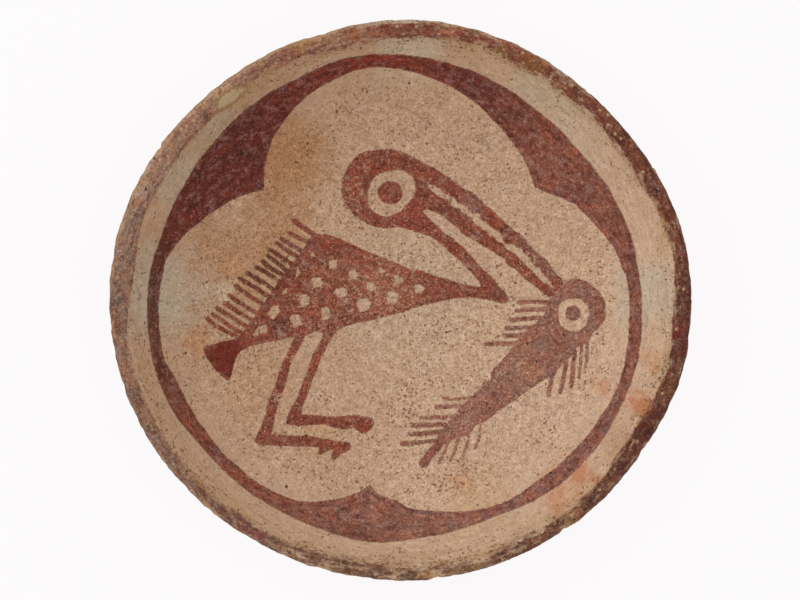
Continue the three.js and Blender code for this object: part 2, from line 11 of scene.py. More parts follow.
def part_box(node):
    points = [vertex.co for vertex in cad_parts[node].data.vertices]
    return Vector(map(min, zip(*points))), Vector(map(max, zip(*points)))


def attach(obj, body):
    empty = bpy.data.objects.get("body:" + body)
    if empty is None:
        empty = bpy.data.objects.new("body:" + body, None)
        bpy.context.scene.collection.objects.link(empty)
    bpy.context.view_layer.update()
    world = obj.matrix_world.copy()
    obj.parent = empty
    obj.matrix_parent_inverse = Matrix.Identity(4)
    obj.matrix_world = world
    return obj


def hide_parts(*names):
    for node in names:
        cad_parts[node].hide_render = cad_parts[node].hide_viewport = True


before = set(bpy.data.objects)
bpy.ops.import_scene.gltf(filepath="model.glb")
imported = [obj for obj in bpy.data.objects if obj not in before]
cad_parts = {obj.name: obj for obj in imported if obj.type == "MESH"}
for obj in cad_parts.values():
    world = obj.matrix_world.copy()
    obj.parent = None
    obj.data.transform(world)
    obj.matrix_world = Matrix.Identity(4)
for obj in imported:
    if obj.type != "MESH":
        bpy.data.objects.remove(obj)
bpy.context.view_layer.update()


# The pot: one piece of buff earthenware, built up and scraped by hand, so no radius is quite true.
# It was fired in the open, which clouded the clay, and its rim has been knocked and worn since.

MM = 0.001
WELD = 0.001 * MM
CLAY_MESH = 1.36 * MM
QUAD_LIMIT = math.radians(60)
SMOOTHING_LEVELS = 2

# How far up a face looks where the inside of the plate begins, and where it is wholly inside
INSIDE_FACING = (-0.05, 0.25)

# Chips in the rim: degrees round it, height of the middle, length along the rim, and depth
CHIPS = [
    (108, 38.5, 9.0, 2.6),
    (228, 37.5, 3.5, 1.6),
    (254, 37.0, 3.0, 2.0),
    (277, 38.0, 3.2, 2.2),
    (305, 37.5, 3.4, 2.0),
    (328, 38.5, 3.0, 1.4),
    (17, 40.5, 2.4, 1.2),
    (148, 40.0, 2.6, 1.1),
    (28, 39.5, 2.6, 1.0),
]
CHIP_HEIGHT = 3.4
CHIP_LUMPS = (2.5, 1.4)

# A smear of clay left on the flare: its middle, its half length and half width, its turn, its height,
# and the shares of its reach where it begins to fall away and where it ends
SCAR = (-77.6, 90.3)
SCAR_REACH = (7.5, 2.2)
SCAR_TURN = math.radians(38)
SCAR_HEIGHT = 0.55
SCAR_FADE = (0.7, 1.1)

# A hole that a seed has left in the clay: its middle and its radius
SEED_HOLE = (-51.4, -85.1, 1.1)

# Unevenness left by the hand and the scraper: size across and height from hollow to crest
HAND_MARKS = [(48, 0.9), (15, 0.24), (4.5, 0.08)]
LIP_MARKS = [(9, 0.7), (4, 0.8), (2.4, 0.4)]

# How far below the crest the lip's marks begin, and where they are full
LIP_DEPTH = 9
LIP_FULL = 3

# The height up to which the foot stays flat, and where the hand's marks are full
FOOT_FLAT = 0.35
FOOT_BLEND = 2.5


def select_only(piece):
    bpy.ops.object.select_all(action="DESELECT")
    piece.select_set(True)
    bpy.context.view_layer.objects.active = piece


def apply(piece, kind, **settings):
    """Adds a modifier with these settings and applies it."""
    select_only(piece)
    modifier = piece.modifiers.new(kind.title(), kind)
    for setting, value in settings.items():
        setattr(modifier, setting, value)
    bpy.ops.object.modifier_apply(modifier=modifier.name)


def copy_of(source, name):
    piece = bpy.data.objects.new(name, source.data.copy())
    bpy.context.scene.collection.objects.link(piece)
    piece.data.materials.clear()
    select_only(piece)
    return piece


def merged_copy(node, name):
    """A copy of a node of the frame whose loose triangles are joined up."""
    piece = copy_of(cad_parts[node], name)
    bpy.ops.object.mode_set(mode="EDIT")
    bpy.ops.mesh.select_all(action="SELECT")
    bpy.ops.mesh.remove_doubles(threshold=WELD)
    bpy.ops.object.mode_set(mode="OBJECT")
    return piece


def dress(piece, material):
    """Gives a finished piece its material and lets it ride on the part."""
    piece.data.materials.clear()
    piece.data.materials.append(material)
    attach(piece, "root")


def smoothstep(value, low, high):
    share = min(max((value - low) / (high - low), 0), 1)
    return share * share * (3 - 2 * share)


def mark(piece, name, values):
    """Keeps one value for each point of a piece, for its material to read."""
    kept = piece.data.attributes.get(name) or piece.data.attributes.new(name, "FLOAT", "POINT")
    kept.data.foreach_set("value", values)


def facing_up(piece):
    """How far each point of a piece belongs to the inside of the plate: 0 outside, 1 inside."""
    return [smoothstep(vertex.normal.z, *INSIDE_FACING) for vertex in piece.data.vertices]


def uneven(piece, size, height, group):
    """Pushes the surface in and out along its normals, in lumps of about this size in millimetres."""
    lumps = bpy.data.textures.new("lumps", "CLOUDS")
    lumps.noise_scale = size * MM
    lumps.noise_depth = 1
    apply(piece, "DISPLACE", texture=lumps, texture_coords="LOCAL", mid_level=0.5,
          strength=height * MM, vertex_group=group)


body = merged_copy("plate_body", "fired_clay_body")
bpy.ops.object.mode_set(mode="EDIT")
bpy.ops.mesh.select_all(action="SELECT")
bpy.ops.mesh.tris_convert_to_quads(face_threshold=QUAD_LIMIT, shape_threshold=QUAD_LIMIT)
bpy.ops.object.mode_set(mode="OBJECT")
apply(body, "SUBSURF", levels=SMOOTHING_LEVELS, render_levels=SMOOTHING_LEVELS)

for degrees, height, length, depth in CHIPS:
    angle = math.radians(degrees)
    outward = Vector((math.cos(angle), math.sin(angle), 0))
    reach = max(v.co.dot(outward) for v in body.data.vertices)
    middle = outward * (reach + (CHIP_HEIGHT - depth) * MM)
    bpy.ops.object.select_all(action="DESELECT")
    bpy.ops.mesh.primitive_ico_sphere_add(
        subdivisions=4, radius=MM, location=(middle.x, middle.y, height * MM),
        rotation=(0, 0, angle), scale=(CHIP_HEIGHT, length, CHIP_HEIGHT))
    flake = bpy.context.object
    bpy.ops.object.transform_apply(location=True, rotation=True, scale=True)
    uneven(flake, *CHIP_LUMPS, "")
    apply(body, "BOOLEAN", object=flake, operation="DIFFERENCE", solver="MANIFOLD")
    bpy.data.objects.remove(flake)

body.data.remesh_voxel_size = CLAY_MESH
bpy.ops.object.voxel_remesh()

hand = body.vertex_groups.new(name="hand")
lip = body.vertex_groups.new(name="lip")
crest = max(v.co.z for v in body.data.vertices)
for vertex in body.data.vertices:
    hand.add([vertex.index], smoothstep(vertex.co.z, FOOT_FLAT * MM, FOOT_BLEND * MM), "REPLACE")
    near_lip = smoothstep(vertex.co.z, crest - LIP_DEPTH * MM, crest - LIP_FULL * MM)
    lip.add([vertex.index], near_lip, "REPLACE")
scar = body.vertex_groups.new(name="scar")
for vertex in body.data.vertices:
    away = vertex.co.xy / MM - Vector(SCAR)
    away.rotate(Matrix.Rotation(-SCAR_TURN, 2))
    away = math.hypot(away.x / SCAR_REACH[0], away.y / SCAR_REACH[1])
    if away < SCAR_FADE[1] and vertex.normal.z > 0:
        scar.add([vertex.index], 1 - smoothstep(away, *SCAR_FADE), "REPLACE")
apply(body, "DISPLACE", mid_level=0, strength=SCAR_HEIGHT * MM, vertex_group="scar")
for size, height in HAND_MARKS:
    uneven(body, size, height, "hand")
for size, height in LIP_MARKS:
    uneven(body, size, height, "lip")
bpy.ops.object.shade_smooth()
mark(body, "inside", facing_up(body))


def linear(colour):
    """A colour written as sRGB hex, as the linear values that shaders take."""
    channels = [int(colour[i:i + 2], 16) / 255 for i in (1, 3, 5)]
    return [c / 12.92 if c <= 0.04045 else ((c + 0.055) / 1.055) ** 2.4 for c in channels] + [1]


def add(tree, kind, inputs, **settings):
    """Adds a shader node with its settings, values and links, and returns its first output."""
    node = tree.nodes.new("ShaderNode" + kind)
    for setting, value in settings.items():
        setattr(node, setting, value)
    for name, value in inputs.items():
        if isinstance(name, int):
            socket = node.inputs[name]
        else:
            socket = next(s for s in node.inputs if s.enabled and s.name == name)
        if isinstance(value, bpy.types.NodeSocket):
            tree.links.new(value, socket)
        else:
            socket.default_value = linear(value) if isinstance(value, str) else value
    return next((s for s in node.outputs if s.enabled), None)


def spot(tree, place, x, y, radius, strength):
    """A soft round patch seen from above: strength in its middle and nothing past its radius."""
    away = add(tree, "VectorMath", {0: place, 1: (x, y, 0)}, operation="SUBTRACT")
    away = add(tree, "VectorMath", {0: away, 1: (1, 1, 0)}, operation="MULTIPLY")
    away = add(tree, "VectorMath", {0: away}, operation="LENGTH").node.outputs["Value"]
    return add(tree, "MapRange", {"Value": away, "From Min": radius, "From Max": 0.25 * radius,
                                  "To Max": strength}, interpolation_type="SMOOTHSTEP")


def round_noise(tree, place, size, stretch, detail=3, roughness=0.6):
    """Noise of this size in millimetres, drawn out this many times round the plate."""
    flat = add(tree, "VectorMath", {0: place, 1: (1, 1, 0)}, operation="MULTIPLY")
    radius = add(tree, "VectorMath", {0: flat}, operation="LENGTH").node.outputs["Value"]
    turned = add(tree, "VectorMath", {0: flat}, operation="NORMALIZE")
    turned = add(tree, "VectorMath", {0: turned, "Scale": RIM_X / stretch}, operation="SCALE")
    across = add(tree, "CombineXYZ", {"Z": radius})
    round_place = add(tree, "VectorMath", {0: turned, 1: across}, operation="ADD")
    height = add(tree, "SeparateXYZ", {"Vector": place}).node.outputs["Z"]
    return add(tree, "TexNoise", {"Vector": round_place, "W": height, "Scale": 1 / size,
                                  "Detail": detail, "Roughness": roughness}, noise_dimensions="4D")


def with_patches(tree, colour, place, patches):
    """Tints a colour in ragged patches, each a tint, its place, its radius and its strength."""
    ragged = add(tree, "TexNoise", {"Vector": place, "Scale": 1 / 13, "Detail": 5, "Roughness": 0.62})
    ragged = add(tree, "VectorMath", {0: ragged.node.outputs["Color"], 1: (30, 30, 0), 2: place},
                 operation="MULTIPLY_ADD")
    ragged = add(tree, "VectorMath", {0: ragged, 1: (15, 15, 0)}, operation="SUBTRACT")
    for tint, x, y, radius, strength in patches:
        share = spot(tree, ragged, x, y, radius, strength)
        colour = add(tree, "Mix", {"Factor": share, "A": colour, "B": tint}, data_type="RGBA")
    return colour


def fired_clay(tree):
    """The bare clay's colour and relief, its pores, its clots with their painted highlights and the place in
    millimetres.
    """
    local = add(tree, "TexCoord", {}).node.outputs["Object"]
    place = add(tree, "VectorMath", {0: local, "Scale": 1 / MM}, operation="SCALE")
    inside = add(tree, "Attribute", {}, attribute_name="inside").node.outputs["Fac"]

    # greyer and browner towards the upper left, paler and pinker towards the lower right
    across = add(tree, "VectorMath", {0: place, 1: (0.8, -0.6, 0)}, operation="DOT_PRODUCT")
    across = add(tree, "MapRange", {"Value": across.node.outputs["Value"], "From Min": -95, "From Max": 95})
    broad = add(tree, "TexNoise", {"Vector": place, "Scale": 1 / 45, "Detail": 3})
    tone_across = add(tree, "Math", {0: broad, 1: 0.9, 2: across}, operation="MULTIPLY_ADD")
    tone_across = add(tree, "MapRange", {"Value": tone_across, "From Min": 0.35, "From Max": 1.45})
    colour = add(tree, "Mix", {"Factor": tone_across, "A": "#b08d70", "B": "#cdac90"}, data_type="RGBA")

    # the outside was nearer the fuel, so smoke clouded it; the tinted patches are on the inside alone
    smoke = add(tree, "TexNoise", {"Vector": place, "Scale": 1 / 42, "Detail": 4, "Roughness": 0.55})
    smoke = add(tree, "MapRange", {"Value": smoke, "From Min": 0.5, "From Max": 0.68, "To Max": 0.7})
    smoked = add(tree, "Mix", {"Factor": smoke, "A": colour, "B": "#7d6350"}, data_type="RGBA")
    patched_inside = with_patches(tree, colour, place, CLOUDS)
    colour = add(tree, "Mix", {"Factor": inside, "A": smoked, "B": patched_inside}, data_type="RGBA")
    drift = add(tree, "TexNoise", {"Vector": place, "Scale": 1 / 7, "Detail": 4, "Roughness": 0.65})
    drift = add(tree, "MapRange", {"Value": drift, "From Min": 0.35, "From Max": 0.65})
    drift = add(tree, "Mix", {"Factor": drift, "A": (0.98, 1, 1.03), "B": (1.02, 1, 0.96)},
                data_type="VECTOR")
    smooth = add(tree, "VectorMath", {0: colour, 1: drift}, operation="MULTIPLY")

    # the grain of sand and grog: hollows are browner, crests are paler, and the wall is wiped smoother
    grain = add(tree, "TexNoise", {"Vector": place, "Scale": 1 / 3, "Detail": 5, "Roughness": 0.82})
    fine = add(tree, "TexNoise", {"Vector": place, "Scale": 1 / 0.9, "Detail": 2, "Roughness": 0.7})
    colour = smooth
    for noise, dark, pale in ((grain, (0.62, 0.53, 0.45), (1.13, 1.17, 1.21)),
                              (fine, (0.64, 0.57, 0.5), (1.1, 1.12, 1.15))):
        shade = add(tree, "MapRange", {"Value": noise, "From Min": 0.28, "From Max": 0.64})
        shade = add(tree, "Mix", {"Factor": shade, "A": dark, "B": pale}, data_type="VECTOR")
        colour = add(tree, "VectorMath", {0: colour, 1: shade}, operation="MULTIPLY")
    reach = add(tree, "VectorMath", {0: place, 1: (1 / RIM_X, 1 / RIM_Y, 0)}, operation="MULTIPLY")
    reach = add(tree, "VectorMath", {0: reach}, operation="LENGTH").node.outputs["Value"]
    wiped = add(tree, "MapRange", {"Value": reach, "From Min": 0.7, "From Max": 0.82, "To Max": 0.4})
    colour = add(tree, "Mix", {"Factor": wiped, "A": colour, "B": smooth}, data_type="RGBA")

    # fine lines that the scraper left along the wall
    lines = round_noise(tree, place, 0.8, 14)
    lines = add(tree, "MapRange", {"Value": lines, "From Min": 0.35, "From Max": 0.65})
    lines = add(tree, "Mix", {"Factor": lines, "A": (0.9, 0.88, 0.85), "B": (1.06, 1.08, 1.09)},
                data_type="VECTOR")
    lines = add(tree, "VectorMath", {0: colour, 1: lines}, operation="MULTIPLY")
    wall = add(tree, "MapRange", {"Value": reach, "From Min": 0.76, "From Max": 0.84})
    colour = add(tree, "Mix", {"Factor": wall, "A": colour, "B": lines}, data_type="RGBA")

    # a golden-brown darkening along the inner edge of the rim, on the inside alone
    rimward = add(tree, "MapRange", {"Value": reach, "From Min": 0.89, "From Max": 0.945})
    rimward = add(tree, "Math", {0: rimward, 1: inside}, operation="MULTIPLY")
    ochre_darkening = round_noise(tree, place, 4, 3, detail=4)
    ochre_darkening = add(tree, "MapRange", {"Value": ochre_darkening, "From Min": 0.42, "From Max": 0.62, "To Max": 0.7})
    ochre_darkening = add(tree, "Math", {0: ochre_darkening, 1: rimward}, operation="MULTIPLY")
    colour = add(tree, "Mix", {"Factor": ochre_darkening, "A": colour, "B": "#99713f"}, data_type="RGBA")

    # the patch that it rests on is scuffed by shelves and floors
    low = add(tree, "SeparateXYZ", {"Vector": place}).node.outputs["Z"]
    scuffs = add(tree, "Math", {0: grain, 1: 1.2, 2: low}, operation="MULTIPLY_ADD")
    scuffs = add(tree, "MapRange", {"Value": scuffs, "From Min": 1.3, "From Max": 0.5, "To Max": 0.55})
    colour = add(tree, "Mix", {"Factor": scuffs, "A": colour, "B": "#c6a98f"}, data_type="RGBA")

    # small pits, fewer on the wall and more just inside the rim, where their dark specks are also painted
    # shade along the step at the rim's inner edge
    crowd = add(tree, "TexNoise", {"Vector": place, "Scale": 1 / 15, "Detail": 3})
    crowd = add(tree, "MapRange", {"Value": crowd, "From Min": 0.35, "From Max": 0.66, "To Min": 0.35,
                                   "To Max": 0.43})
    crowd = add(tree, "Math", {0: wiped, 1: -0.06, 2: crowd}, operation="MULTIPLY_ADD")
    # more pits just inside the rim: partly real specks, partly painted shade at the rim's inner step
    crowd = add(tree, "Math", {0: rimward, 1: 0.07, 2: crowd}, operation="MULTIPLY_ADD")
    pits = add(tree, "TexNoise", {"Vector": place, "Scale": 1 / 1.4, "Detail": 3, "Roughness": 0.55})
    pits = add(tree, "Math", {0: crowd, 1: pits}, operation="SUBTRACT")
    pits = add(tree, "MapRange", {"Value": pits, "From Max": 0.05, "To Max": 0.8})
    colour = add(tree, "Mix", {"Factor": pits, "A": colour, "B": "#6f4a30"}, data_type="RGBA")

    # the pale smear, with an ochre ring in the corner round it, partly dirt and partly painted shade where
    # the raised smear meets the clay
    turned = add(tree, "VectorRotate", {"Vector": place, "Center": (*SCAR, 0), "Angle": -SCAR_TURN},
                 rotation_type="Z_AXIS")
    away = add(tree, "VectorMath", {0: turned, 1: (*SCAR, 0)}, operation="SUBTRACT")
    away = add(tree, "VectorMath", {0: away, 1: (1 / SCAR_REACH[0], 1 / SCAR_REACH[1], 0)},
               operation="MULTIPLY")
    away = add(tree, "VectorMath", {0: away}, operation="LENGTH").node.outputs["Value"]
    ragged = add(tree, "TexNoise", {"Vector": place, "Scale": 1 / 3.6, "Detail": 5, "Roughness": 0.7})
    away = add(tree, "Math", {0: ragged, 1: 2.4, 2: away}, operation="MULTIPLY_ADD")
    away = add(tree, "Math", {0: away, 1: 0.85}, operation="SUBTRACT")
    # the ochre ring round the smear: partly dirt, partly painted shade in the corner
    ochre_darkening = add(tree, "MapRange", {"Value": away, "From Min": 2.2, "From Max": 1.4, "To Max": 0.8})
    ochre_darkening = add(tree, "Math", {0: ochre_darkening, 1: inside}, operation="MULTIPLY")
    colour = add(tree, "Mix", {"Factor": ochre_darkening, "A": colour, "B": "#8f6a38"}, data_type="RGBA")
    scar_clay = add(tree, "MapRange", {"Value": away, "From Min": 1.45, "From Max": 1.15, "To Max": 0.6})
    scar_clay = add(tree, "Math", {0: scar_clay, 1: inside}, operation="MULTIPLY")
    colour = add(tree, "Mix", {"Factor": scar_clay, "A": colour, "B": "#baa688"}, data_type="RGBA")

    # pores where grit and straw have burnt out, and short cracks
    shaken = add(tree, "VectorMath", {0: fine.node.outputs["Color"], 1: (1.6, 1.6, 1.6), 2: place},
                 operation="MULTIPLY_ADD")
    cells = add(tree, "TexVoronoi", {"Vector": shaken, "Scale": 1 / 4.6})
    chance = add(tree, "SeparateColor", {"Color": cells.node.outputs["Color"]})
    present = add(tree, "Math", {0: chance, 1: 0.24}, operation="LESS_THAN")
    width = add(tree, "MapRange", {"Value": chance.node.outputs["Green"], "To Min": 0.06, "To Max": 0.17})
    depth = add(tree, "Math", {0: width, 1: cells}, operation="SUBTRACT")
    depth = add(tree, "MapRange", {"Value": depth, "From Max": 0.05})
    pores = add(tree, "Math", {0: depth, 1: present}, operation="MULTIPLY")
    bent = add(tree, "VectorMath", {0: grain.node.outputs["Color"], 1: (5, 5, 5), 2: place},
               operation="MULTIPLY_ADD")
    cracks = add(tree, "TexVoronoi", {"Vector": bent, "Scale": 1 / 8}, feature="DISTANCE_TO_EDGE")
    cracks = add(tree, "MapRange", {"Value": cracks, "From Min": 0.03, "From Max": 0.008})
    broken = add(tree, "TexNoise", {"Vector": place, "Scale": 1 / 6, "Detail": 3})
    broken = add(tree, "MapRange", {"Value": broken, "From Min": 0.56, "From Max": 0.64, "To Max": 0.35})
    cracks = add(tree, "Math", {0: cracks, 1: broken}, operation="MULTIPLY")
    pores = add(tree, "Math", {0: pores, 1: cracks}, operation="MAXIMUM")
    colour = add(tree, "Mix", {"Factor": pores, "A": colour, "B": "#674226"}, data_type="RGBA")

    # one deep round hole where a seed has burnt out
    hole = spot(tree, place, *SEED_HOLE, 0.95)
    hole = add(tree, "Math", {0: hole, 1: inside}, operation="MULTIPLY")
    pores = add(tree, "Math", {0: pores, 1: hole}, operation="MAXIMUM")
    colour = add(tree, "Mix", {"Factor": hole, "A": colour, "B": "#21160f"}, data_type="RGBA")

    # pale grains of temper in the surface
    grits = add(tree, "TexVoronoi", {"Vector": place, "Scale": 1 / 2.8})
    rare = add(tree, "SeparateColor", {"Color": grits.node.outputs["Color"]})
    rare = add(tree, "Math", {0: rare, 1: 0.06}, operation="LESS_THAN")
    grits = add(tree, "MapRange", {"Value": grits, "From Min": 0.16, "From Max": 0.08, "To Max": 0.55})
    grits = add(tree, "Math", {0: grits, 1: rare}, operation="MULTIPLY")
    colour = add(tree, "Mix", {"Factor": grits, "A": colour, "B": "#e6d3bd"}, data_type="RGBA")

    # pale clots of clay that the brush dragged together just inside the rim, most on the far side; their
    # pale colour is also a painted highlight on their bumps
    clots_and_highlights = add(tree, "TexVoronoi", {"Vector": shaken, "Scale": 1 / 3.2})
    chosen = add(tree, "SeparateColor", {"Color": clots_and_highlights.node.outputs["Color"]})
    far = add(tree, "SeparateXYZ", {"Vector": place}).node.outputs["Y"]
    share = add(tree, "MapRange", {"Value": far, "From Min": 20, "From Max": 85, "To Min": 0.06,
                                   "To Max": 0.5})
    chosen = add(tree, "Math", {0: chosen, 1: share}, operation="LESS_THAN")
    clots_and_highlights = add(tree, "MapRange", {"Value": clots_and_highlights, "From Min": 0.36, "From Max": 0.18, "To Max": 0.7})
    clots_and_highlights = add(tree, "Math", {0: clots_and_highlights, 1: chosen}, operation="MULTIPLY")
    inner = add(tree, "MapRange", {"Value": reach, "From Min": 0.928, "From Max": 0.94})
    outer = add(tree, "MapRange", {"Value": reach, "From Min": 0.985, "From Max": 0.972})
    for edge in (inner, outer, inside):
        clots_and_highlights = add(tree, "Math", {0: clots_and_highlights, 1: edge}, operation="MULTIPLY")
    colour = add(tree, "Mix", {"Factor": clots_and_highlights, "A": colour, "B": "#c4a380"}, data_type="RGBA")

    relief = add(tree, "Math", {0: pores, 1: -2.4, 2: grain}, operation="MULTIPLY_ADD")
    relief = add(tree, "Math", {0: pits, 1: -1.2, 2: relief}, operation="MULTIPLY_ADD")
    relief = add(tree, "Math", {0: clots_and_highlights, 1: 3, 2: relief}, operation="MULTIPLY_ADD")
    return colour, relief, pores, clots_and_highlights, place


def finish_material(tree, colour, relief, roughness):
    """Joins a colour and a relief in tenths of a millimetre to the material's surface."""
    bump = add(tree, "Bump", {"Height": relief, "Distance": 0.1 * MM, "Strength": 0.9})
    shader = add(tree, "BsdfPrincipled", {"Base Color": colour, "Roughness": roughness, "Normal": bump,
                                          "IOR": 1.5, "Specular IOR Level": 0.3})
    add(tree, "OutputMaterial", {"Surface": shader})


def new_material(name):
    material = bpy.data.materials.new(name)
    material.use_nodes = True
    material.node_tree.nodes.clear()
    return material


# Buff earthenware: a porous, gritty clay, scraped and wiped while damp, so it is matt all over.
# Patches that tint it inside, each a tint, its place, its radius and its strength: greyer and paler on much
# of the wall, darker and more orange on the floor's upper left
CLOUDS = [
    ("#a5744a", -52, 66, 30, 0.75),
    ("#a8774f", -54, 34, 24, 0.6),
    ("#a87a55", -84, 16, 34, 0.55),
    ("#b08a68", -90, -20, 24, 0.45),
    ("#b4744c", -92.6, -20.5, 9, 0.45),
    ("#bb8f6c", -66, -40, 30, 0.35),
    ("#bda58c", 4, 2, 44, 0.45),
    ("#b2a591", -108, 4, 30, 0.7),
    ("#b0a08a", -98, 52, 22, 0.6),
    ("#aa9a80", -88, 80, 16, 0.6),
    ("#c2b198", 4, 118, 24, 0.7),
    ("#b9a98f", 70, 98, 26, 0.5),
    ("#c3b29d", 115, 2, 22, 0.75),
    ("#cbb79f", 78, 70, 22, 0.4),
    ("#c49a72", 36, -92, 22, 0.4),
    ("#b9987a", 66, 10, 24, 0.4),
    ("#b98d62", -37, -63, 15, 0.45),
    ("#b9866a", 104, -66, 20, 0.35),
    ("#c8b499", -82, 6, 9, 0.7),
    ("#cab79f", 85, 61, 8, 0.6),
    ("#c68a66", 94, -39, 8, 0.6),
    ("#c17a58", 108, -46, 8, 0.95),
    ("#c78f6c", 113, -28, 8, 0.45),
    ("#cc9878", 76, -82, 17, 0.5),
    ("#c47e5b", 82, -80, 6, 0.7),
    ("#c47e5b", 90, -80, 5, 0.6),
    ("#c88a66", 71, -91, 7, 0.6),
    ("#cdbea3", 119, -31, 3.5, 0.9),
    ("#b07c54", -68, 14, 21, 0.3),
    ("#c98f6c", 30, -82, 9, 0.5),
    ("#a58457", -62, 104, 9, 0.6),
    ("#9a7a4c", -70, 96, 6, 0.5),
]
CLAY_ROUGHNESS = 0.93
RIM_X, RIM_Y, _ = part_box("plate_body")[1] / MM
buff_earthenware = new_material("buff_earthenware")
clay_colour, clay_relief, _, _, _ = fired_clay(buff_earthenware.node_tree)
finish_material(buff_earthenware.node_tree, clay_colour, clay_relief, CLAY_ROUGHNESS)
dress(body, buff_earthenware)
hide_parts("plate_body")


# The rim band: red slip laid over the lip with a loaded brush, so its inner edge wavers.
# It has been rubbed through on the crest and smoked in the fire, and its colour changes round the rim.

SLIP_COAT = 0.1 * MM
SLIP_ROUGHNESS = 0.86
SHARP_EDGE = math.radians(40)

# A brushed outline: its longest step, and the size and reach of its wavers
BRUSH_STEP = 0.6 * MM
BRUSH_SUBDIVISIONS = 5
BRUSH_WAVER = [(1.4, 0.9), (5, 0.9), (12, 0.8)]
STRAIGHT = math.radians(1)
PRISM_TOP = 60 * MM
MEETING_GAP = 1 * MM

# How far up a face of the clay looks where it can be painted from inside
PAINTED_FACING = 0.2

# The rim's film: the share of the plate's reach at its shoulder, the shoulder's height, how much its
# inner outline is drawn in and its outer one pushed clear of the lip, how far below its foot the clay
# that it is cut from goes, and the depth and the waves of its lower edge
RIM_INSIDE = 0.963
RIM_SHOULDER = 40 * MM
RIM_SPREAD = 0.991
RIM_CLEAR = 1.08
RIM_BELOW = 4 * MM
RIM_SAG = 0.5
RIM_SAG_WAVES = (7, 19, 31)


def skin_of(piece, name, wanted):
    """A coat of slip over the faces of the clay that are wanted: a thin closed shell."""
    skin = copy_of(piece, name)
    mesh = bmesh.new()
    mesh.from_mesh(skin.data)
    bmesh.ops.delete(mesh, geom=[face for face in mesh.faces if not wanted(face)], context="FACES")
    mesh.to_mesh(skin.data)
    mesh.free()
    apply(skin, "SOLIDIFY", thickness=SLIP_COAT, offset=1)
    return skin


def is_inside(point):
    """Whether a point is nearer the plate's middle than the rim's outer shoulder."""
    return math.hypot(point.x / RIM_X, point.y / RIM_Y) < RIM_INSIDE * MM


def flat_outline(node):
    """A painted shape of the frame laid flat, with points close enough together to waver."""
    flat = merged_copy(node, node + "_outline")
    bpy.ops.object.mode_set(mode="EDIT")
    mesh = bmesh.from_edit_mesh(flat.data)
    mesh.normal_update()
    for face in mesh.faces:
        middle = face.calc_center_median()
        hidden = middle.z < RIM_SHOULDER and not is_inside(middle)
        face.select_set(face.normal.z < PAINTED_FACING or hidden)
    bpy.ops.mesh.delete(type="FACE")
    bpy.ops.mesh.select_all(action="SELECT")
    bpy.ops.transform.resize(value=(1, 1, 0), center_override=(0, 0, 0))
    bpy.ops.mesh.remove_doubles(threshold=WELD)
    bpy.ops.mesh.dissolve_limited(angle_limit=STRAIGHT)
    for _ in range(BRUSH_SUBDIVISIONS):
        mesh = bmesh.from_edit_mesh(flat.data)
        for part in [*mesh.faces, *mesh.edges, *mesh.verts]:
            part.select = False
        mesh.select_mode = {"EDGE"}
        for edge in mesh.edges:
            edge.select_set(edge.is_boundary and edge.calc_length() > BRUSH_STEP)
        bmesh.update_edit_mesh(flat.data)
        bpy.ops.mesh.subdivide()
    bpy.ops.object.mode_set(mode="OBJECT")
    return flat


def near_points(points):
    tree = KDTree(len(points))
    for index, point in enumerate(points):
        tree.insert((point.x, point.y, 0), index)
    tree.balance()
    return tree


def brushed_prism(node, meets=None):
    """A prism of a painted shape of the frame, whose outline wavers as a brush does.
    Where it comes close to the shape that it meets, the two share their points."""
    prism = flat_outline(node)
    if meets:
        other = flat_outline(meets)
        corners = near_points([vertex.co for vertex in other.data.vertices])
        for vertex in prism.data.vertices:
            nearest, _, gap = corners.find(vertex.co)
            if gap < MEETING_GAP:
                vertex.co = nearest
        bpy.data.objects.remove(other)
        select_only(prism)
    for size, reach in BRUSH_WAVER:
        for direction in ("X", "Y"):
            waver = bpy.data.textures.new("waver", "CLOUDS")
            waver.noise_scale = size * MM
            waver.noise_basis = "IMPROVED_PERLIN" if direction == "X" else "ORIGINAL_PERLIN"
            apply(prism, "DISPLACE", texture=waver, texture_coords="LOCAL", mid_level=0.5,
                  direction=direction, strength=reach * MM)
    bpy.ops.object.mode_set(mode="EDIT")
    bpy.ops.mesh.select_all(action="SELECT")
    bpy.ops.mesh.remove_doubles(threshold=WELD)
    bpy.ops.mesh.extrude_region_move(TRANSFORM_OT_translate={"value": (0, 0, PRISM_TOP)})
    bpy.ops.mesh.select_all(action="SELECT")
    bpy.ops.mesh.normals_make_consistent(inside=False)
    bpy.ops.mesh.quads_convert_to_tris(ngon_method="BEAUTY")
    bpy.ops.object.mode_set(mode="OBJECT")
    return prism


def painted(skin, prism, node, name):
    """The film of slip of a painted shape: the skin of slip cut to the shape's outline.
    Its points keep how far they are from the edge of the slip, in millimetres, and how far inside."""
    film = copy_of(skin, name)
    apply(film, "BOOLEAN", object=prism, operation="INTERSECT", solver="MANIFOLD")
    bpy.ops.object.shade_smooth_by_angle(angle=SHARP_EDGE)
    foot = min(vertex.co.z for vertex in prism.data.vertices)
    corners = near_points([vertex.co for vertex in prism.data.vertices if is_inside(vertex.co)])
    from_edge = [min(corners.find((vertex.co.x, vertex.co.y, 0))[2], vertex.co.z - foot) / MM
                 for vertex in film.data.vertices]
    mark(film, "from_edge", from_edge)
    mark(film, "inside", facing_up(film))
    bpy.data.objects.remove(prism)
    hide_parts(node)
    return film


